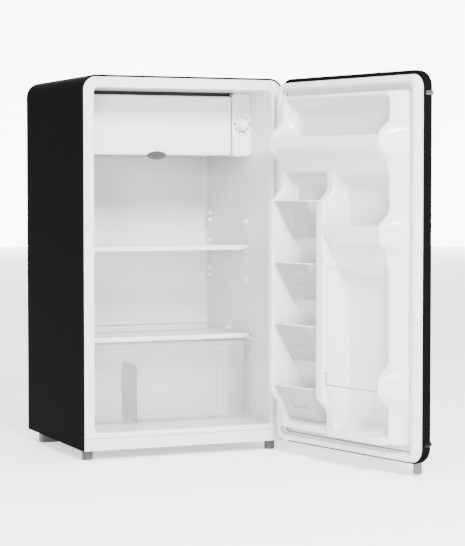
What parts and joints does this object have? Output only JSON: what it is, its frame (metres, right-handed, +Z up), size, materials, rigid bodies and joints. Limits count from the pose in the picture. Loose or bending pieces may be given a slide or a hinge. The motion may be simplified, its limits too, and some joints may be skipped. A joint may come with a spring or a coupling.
{
  "type": "mini fridge",
  "caption": "Retro compact refrigerator with a round-cornered black cabinet and white lining; the door stands open on shelves, ice compartment, crisper drawer and door racks.",
  "frame": {"origin": "The floor under the middle of the cabinet's footprint.", "axes": "X to the right seen from the front, Y from the front to the back, Z up. The door is on the -Y side and hinged at +X."},
  "size_m": [0.6084, 0.8877, 0.83],
  "materials": {
    "shell_paint": "satin",
    "liner_plastic": "satin",
    "foam": "matte",
    "kick_plastic": "satin",
    "zinc_steel": "brushed",
    "dark_steel": "matte",
    "compressor_paint": "satin",
    "black_plastic": "matte",
    "rubber_black": "matte",
    "copper": "satin",
    "tube_plastic": "satin",
    "evap_aluminium": "satin",
    "flap_plastic": "satin",
    "knob_plastic": "satin",
    "grip_plastic": "satin",
    "shelf_glass": "clear",
    "trim_plastic": "satin",
    "crisper_plastic": "slightly frosted",
    "foot_plastic": "matte",
    "gasket_rubber": "matte",
    "band_plastic": "satin",
    "bush_plastic": "matte",
    "tray_plastic": "translucent",
    "rail_wire": "gloss",
    "door_foot_plastic": "matte",
    "handle_chrome": "polished"
  },
  "bodies": {
    "cabinet": {"outer_shell": "shell_paint", "back_panel": "dark_steel", "cabinet_liner": "liner_plastic", "cabinet_foam": "foam", "kick_plate": "kick_plastic", "base_pan": "dark_steel", "machine_wall_plate": "zinc_steel", "compressor": "compressor_paint", "compressor_bracket": "dark_steel", "compressor_grommets": "rubber_black", "relay_cover": "black_plastic", "evaporation_tray": "black_plastic", "refrigerant_pipes": "copper", "filter_drier": "copper", "drain_tube": "tube_plastic", "mains_inlet": "rubber_black", "evaporator": "evap_aluminium", "evaporator_seal": "rubber_black", "control_housing": "flap_plastic", "thermostat": "zinc_steel", "flap_bearing": "flap_plastic", "rear_feet": "foot_plastic", "top_hinge": "zinc_steel", "bottom_hinge": "zinc_steel", "hinge_pins": "zinc_steel", "back_screws": "zinc_steel"},
    "door": {"door_shell": "shell_paint", "door_liner": "liner_plastic", "door_foam": "foam", "door_gasket": "gasket_rubber", "door_band_top": "band_plastic", "door_band_bottom": "band_plastic", "hinge_bushes": "bush_plastic", "can_tray_1": "tray_plastic", "can_tray_2": "tray_plastic", "can_tray_3": "tray_plastic", "can_tray_4": "tray_plastic", "bottle_rail": "rail_wire", "door_foot": "door_foot_plastic", "door_handle": "handle_chrome", "handle_screws": "zinc_steel"},
    "flap": {"ice_flap": "flap_plastic", "ice_flap_grip": "grip_plastic"},
    "knob": {"thermostat_knob": "knob_plastic", "knob_spindle": "zinc_steel"},
    "upper_shelf_unit": {"upper_shelf": "shelf_glass", "upper_shelf_trim": "trim_plastic"},
    "lower_shelf_unit": {"lower_shelf": "shelf_glass", "lower_shelf_trim": "trim_plastic"},
    "drawer": {"crisper_drawer": "crisper_plastic", "crisper_divider": "crisper_plastic"},
    "foot_left": {"front_foot_left": "foot_plastic"},
    "foot_right": {"front_foot_right": "foot_plastic"}
  },
  "joints": [
    {"name": "door_hinge", "type": "hinge", "parent": "cabinet", "child": "door", "pos_m": [0.2295, -0.2255, 0.42], "axis": [0, 0, 1], "range_deg": [-103, 15]},
    {"name": "flap_hinge", "type": "hinge", "parent": "cabinet", "child": "flap", "pos_m": [0, -0.0805, 0.787], "axis": [-1, 0, 0], "range_deg": [0, 88]},
    {"name": "knob_turn", "type": "hinge", "parent": "cabinet", "child": "knob", "pos_m": [0.185, -0.088, 0.7305], "axis": [0, -1, 0], "range_deg": [0, 270]},
    {"name": "upper_shelf_slide", "type": "slide", "parent": "cabinet", "child": "upper_shelf_unit", "axis": [0, -1, 0], "range_m": [0, 0.1]},
    {"name": "lower_shelf_slide", "type": "slide", "parent": "cabinet", "child": "lower_shelf_unit", "axis": [0, -1, 0], "range_m": [0, 0.1]},
    {"name": "drawer_slide", "type": "slide", "parent": "cabinet", "child": "drawer", "axis": [0, -1, 0], "range_m": [0, 0.15]},
    {"name": "foot_left_turn", "type": "hinge", "parent": "cabinet", "child": "foot_left", "pos_m": [-0.216, -0.1725, 0.01], "axis": [0, 0, 1], "continuous": true},
    {"name": "foot_right_turn", "type": "hinge", "parent": "cabinet", "child": "foot_right", "pos_m": [0.216, -0.1725, 0.01], "axis": [0, 0, 1], "continuous": true}
  ]
}
